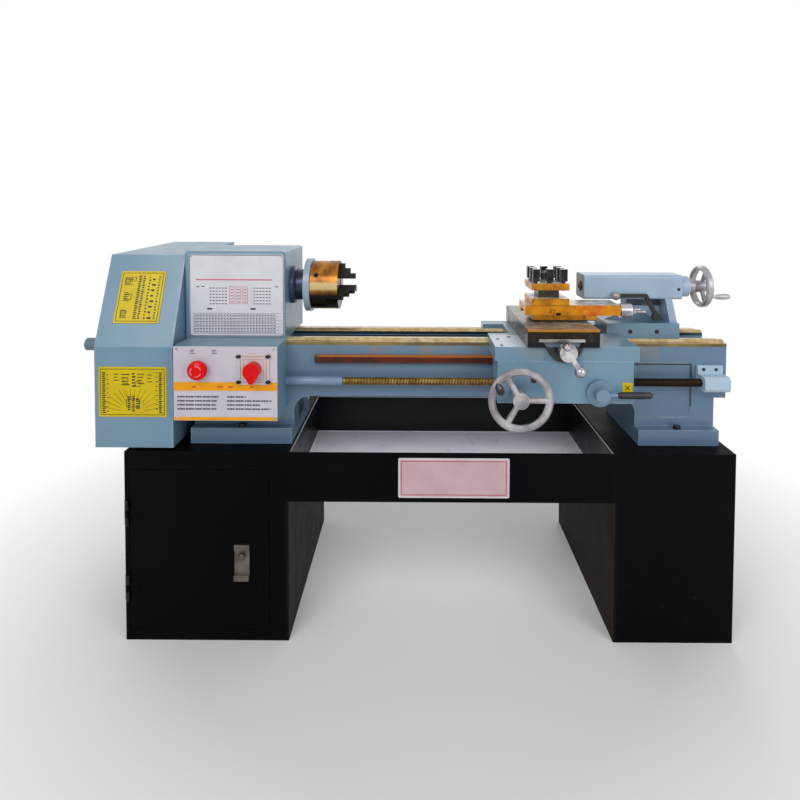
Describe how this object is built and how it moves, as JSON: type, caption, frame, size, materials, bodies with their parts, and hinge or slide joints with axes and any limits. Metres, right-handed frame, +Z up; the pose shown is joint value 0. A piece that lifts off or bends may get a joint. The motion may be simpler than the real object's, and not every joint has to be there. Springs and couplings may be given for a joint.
{
  "type": "engine lathe",
  "caption": "Engine lathe on a sheet-metal stand with chip pan, geared end guard, chuck, carriage with compound slide and toolpost, and a sliding tailstock.",
  "frame": {"origin": "on the floor, at the centre of the stand's four anchor holes", "axes": "+X along the bed towards the tailstock, +Y away from the operator, +Z up"},
  "size_m": [1.7895, 0.7305, 1.021],
  "materials": {
    "machine_paint": "light blue-grey machine enamel, oily at the edges",
    "stand_paint": "near-black satin paint on sheet steel",
    "pan_steel": "pale satin sheet with dark walls",
    "bright_steel": "turned bright steel",
    "black_bolts": "blackened steel fasteners",
    "rack_steel": "oiled dark red-brown steel",
    "screw_steel": "oiled bright steel thread",
    "chuck_steel": "ground steel under amber preserving grease",
    "dark_steel": "oil-blackened steel",
    "cast_aluminium": "turned cast aluminium",
    "belt_rubber": "black belt rubber",
    "panel_plastic": "pale lilac panel with orange bands",
    "red_plastic": "glossy red plastic",
    "black_plastic": "glossy black plastic",
    "wheel_metal": "polished wheel metal with black grips",
    "brass": "turned bronze",
    "slide_iron": "scraped iron under amber grease"
  },
  "bodies": {
    "root": {"left_cabinet": "stand_paint", "right_cabinet": "stand_paint", "stand_rails": "stand_paint", "chip_pan": "pan_steel", "door_hinges": "stand_paint", "bed": "machine_paint", "bed_bolts": "black_bolts", "rack": "rack_steel", "leadscrew_bracket": "machine_paint", "headstock_casing": "machine_paint", "headstock_cover": "machine_paint", "bearing_cap": "machine_paint", "spindle_bearings": "bright_steel", "guard_backplate": "machine_paint", "gear_quadrant": "machine_paint", "drive_belt": "belt_rubber", "motor": "machine_paint", "control_box": "machine_paint", "control_panel": "panel_plastic"},
    "door": {"cabinet_door": "stand_paint", "door_latch": "bright_steel"},
    "latch": {"latch_key": "bright_steel"},
    "spindle": {"spindle": "bright_steel", "chuck_backplate": "machine_paint", "chuck_body": "chuck_steel", "spindle_gear": "dark_steel", "spindle_pulley": "cast_aluminium"},
    "scroll": {"chuck_scroll": "chuck_steel"},
    "key_pinion": {"chuck_pinion": "bright_steel"},
    "jaw_1": {"chuck_jaw_1": "dark_steel"},
    "jaw_2": {"chuck_jaw_2": "dark_steel"},
    "jaw_3": {"chuck_jaw_3": "dark_steel"},
    "idler": {"idler_gear": "dark_steel"},
    "leadscrew": {"leadscrew": "screw_steel", "leadscrew_gear": "dark_steel"},
    "motor_rotor": {"motor_pulley": "cast_aluminium"},
    "guard": {"end_guard": "machine_paint"},
    "guard_knob": {"guard_knob": "machine_paint"},
    "stop_button": {"stop_button": "red_plastic"},
    "switch_knob": {"switch_knob": "red_plastic"},
    "carriage": {"saddle": "machine_paint", "apron": "machine_paint"},
    "apron_wheel": {"apron_handwheel": "wheel_metal"},
    "rack_pinion": {"rack_pinion": "dark_steel"},
    "half_nut_lever": {"half_nut_lever": "wheel_metal"},
    "half_nut": {"half_nut": "brass"},
    "cross_slide": {"cross_slide": "slide_iron"},
    "cross_screw": {"cross_feed_crank": "wheel_metal"},
    "compound": {"compound_base": "slide_iron"},
    "top_slide": {"top_slide": "slide_iron"},
    "top_screw": {"top_slide_crank": "wheel_metal"},
    "toolpost": {"toolpost": "chuck_steel", "tool_clamp_bolts": "black_bolts"},
    "toolpost_nut": {"toolpost_nut": "dark_steel"},
    "tailstock": {"tailstock_base": "machine_paint", "tailstock_body": "machine_paint", "tailstock_clamp": "dark_steel"},
    "quill": {"quill": "bright_steel"},
    "tail_wheel": {"tailstock_handwheel": "wheel_metal"},
    "tail_lever": {"tailstock_lever": "wheel_metal"}
  },
  "joints": [
    {"name": "door_hinge", "type": "hinge", "parent": "root", "child": "door", "pos_m": [-0.79, -0.295, 0.24], "axis": [0, 0, -1], "range_deg": [0, 110]},
    {"name": "latch_turn", "type": "hinge", "parent": "door", "child": "latch", "pos_m": [-0.4905, -0.29, 0.229], "axis": [0, 1, 0], "range_deg": [-90, 0]},
    {"name": "spindle_spin", "type": "hinge", "parent": "root", "child": "spindle", "pos_m": [-0.45, -0.105, 0.918], "axis": [1, 0, 0], "continuous": true},
    {"name": "scroll_turn", "type": "hinge", "parent": "spindle", "child": "scroll", "pos_m": [-0.3, -0.105, 0.918], "axis": [1, 0, 0], "range_deg": [-430, 540]},
    {"name": "key_pinion_turn", "type": "hinge", "parent": "spindle", "child": "key_pinion", "pos_m": [-0.3177, -0.105, 0.918], "axis": [0, -0.866, 0.5], "range_deg": [-1720, 2160]},
    {"name": "jaw_1_slide", "type": "slide", "parent": "spindle", "child": "jaw_1", "axis": [0, 0, 1], "range_m": [-0.012, 0.015]},
    {"name": "jaw_2_slide", "type": "slide", "parent": "spindle", "child": "jaw_2", "axis": [0, -0.866, -0.5], "range_m": [-0.012, 0.015]},
    {"name": "jaw_3_slide", "type": "slide", "parent": "spindle", "child": "jaw_3", "axis": [0, 0.866, -0.5], "range_m": [-0.012, 0.015]},
    {"name": "idler_spin", "type": "hinge", "parent": "root", "child": "idler", "pos_m": [-0.7275, -0.14777, 0.7805], "axis": [1, 0, 0], "continuous": true},
    {"name": "leadscrew_spin", "type": "hinge", "parent": "root", "child": "leadscrew", "pos_m": [-0.3, -0.232, 0.675], "axis": [1, 0, 0], "continuous": true},
    {"name": "motor_spin", "type": "hinge", "parent": "root", "child": "motor_rotor", "pos_m": [-0.7, 0.15, 0.6058], "axis": [1, 0, 0], "continuous": true},
    {"name": "guard_pull", "type": "slide", "parent": "root", "child": "guard", "axis": [-1, 0, 0], "range_m": [0, 0.22]},
    {"name": "guard_knob_turn", "type": "hinge", "parent": "guard", "child": "guard_knob", "pos_m": [-0.91, -0.2, 0.764], "axis": [1, 0, 0], "continuous": true},
    {"name": "stop_press", "type": "slide", "parent": "root", "child": "stop_button", "axis": [0, 1, 0], "range_m": [0, 0.005], "stiffness_N_per_m": 400},
    {"name": "switch_turn", "type": "hinge", "parent": "root", "child": "switch_knob", "pos_m": [-0.453, -0.32, 0.728], "axis": [0, 1, 0], "range_deg": [-60, 60]},
    {"name": "carriage_slide", "type": "slide", "parent": "root", "child": "carriage", "axis": [1, 0, 0], "range_m": [-0.39, 0.045]},
    {"name": "apron_wheel_turn", "type": "hinge", "parent": "carriage", "child": "apron_wheel", "pos_m": [0.221, -0.37, 0.671], "axis": [0, 1, 0], "range_deg": [-5586, 644]},
    {"name": "rack_pinion_turn", "type": "hinge", "parent": "carriage", "child": "rack_pinion", "pos_m": [0.26229, -0.25, 0.7058], "axis": [0, 1, 0], "range_deg": [-184.01, 1596.01]},
    {"name": "half_nut_lever_turn", "type": "hinge", "parent": "carriage", "child": "half_nut_lever", "pos_m": [0.43, -0.34, 0.675], "axis": [0, -1, 0], "range_deg": [0, 40]},
    {"name": "half_nut_lift", "type": "slide", "parent": "carriage", "child": "half_nut", "axis": [0, 0, 1], "range_m": [0, 0.003]},
    {"name": "cross_screw_turn", "type": "hinge", "parent": "carriage", "child": "cross_screw", "pos_m": [0.337, -0.372, 0.788], "axis": [0, 1, 0], "range_deg": [-1081, 5401]},
    {"name": "cross_slide_slide", "type": "slide", "parent": "carriage", "child": "cross_slide", "axis": [0, 1, 0], "range_m": [-0.012, 0.06]},
    {"name": "compound_swivel", "type": "hinge", "parent": "cross_slide", "child": "compound", "pos_m": [0.32, -0.195, 0.845], "axis": [0, 0, 1], "range_deg": [-60, 5]},
    {"name": "top_slide_slide", "type": "slide", "parent": "compound", "child": "top_slide", "axis": [1, 0, 0], "range_m": [-0.06, 0.01]},
    {"name": "top_screw_turn", "type": "hinge", "parent": "top_slide", "child": "top_screw", "pos_m": [0.54, -0.195, 0.8623], "axis": [1, 0, 0], "range_deg": [-5401, 901]},
    {"name": "toolpost_turn", "type": "hinge", "parent": "top_slide", "child": "toolpost", "pos_m": [0.32, -0.195, 0.91], "axis": [0, 0, 1], "continuous": true},
    {"name": "toolpost_nut_turn", "type": "hinge", "parent": "top_slide", "child": "toolpost_nut", "pos_m": [0.32, -0.195, 0.95], "axis": [0, 0, 1], "range_deg": [0, 180]},
    {"name": "tailstock_slide", "type": "slide", "parent": "root", "child": "tailstock", "axis": [1, 0, 0], "range_m": [-0.045, 0.1]},
    {"name": "tail_wheel_turn", "type": "hinge", "parent": "tailstock", "child": "tail_wheel", "pos_m": [0.79, -0.105, 0.918], "axis": [-1, 0, 0], "range_deg": [0, 5760]},
    {"name": "quill_slide", "type": "slide", "parent": "tailstock", "child": "quill", "axis": [-1, 0, 0], "range_m": [0, 0.08]},
    {"name": "tail_lever_turn", "type": "hinge", "parent": "tailstock", "child": "tail_lever", "pos_m": [0.64, -0.15, 0.837], "axis": [0, 1, 0], "range_deg": [0, 60]}
  ],
  "couplings": [
    {"joint": "idler_spin", "follows": "spindle_spin", "ratio": -0.45455},
    {"joint": "leadscrew_spin", "follows": "spindle_spin", "ratio": 1.25},
    {"joint": "motor_spin", "follows": "spindle_spin", "ratio": 2.1429},
    {"joint": "key_pinion_turn", "follows": "scroll_turn", "ratio": 4},
    {"joint": "jaw_1_slide", "follows": "scroll_turn", "m_per_rad": 0.0015915},
    {"joint": "jaw_2_slide", "follows": "scroll_turn", "m_per_rad": 0.0015915},
    {"joint": "jaw_3_slide", "follows": "scroll_turn", "m_per_rad": 0.0015915},
    {"joint": "carriage_slide", "follows": "apron_wheel_turn", "m_per_rad": 0.004},
    {"joint": "rack_pinion_turn", "follows": "apron_wheel_turn", "ratio": -0.28571},
    {"joint": "half_nut_lift", "follows": "half_nut_lever_turn", "m_per_rad": 0.004297},
    {"joint": "cross_screw_turn", "follows": "cross_slide_slide", "rad_per_m": 1570.8},
    {"joint": "top_screw_turn", "follows": "top_slide_slide", "rad_per_m": 1570.8},
    {"joint": "quill_slide", "follows": "tail_wheel_turn", "m_per_rad": 0.00079577}
  ]
}
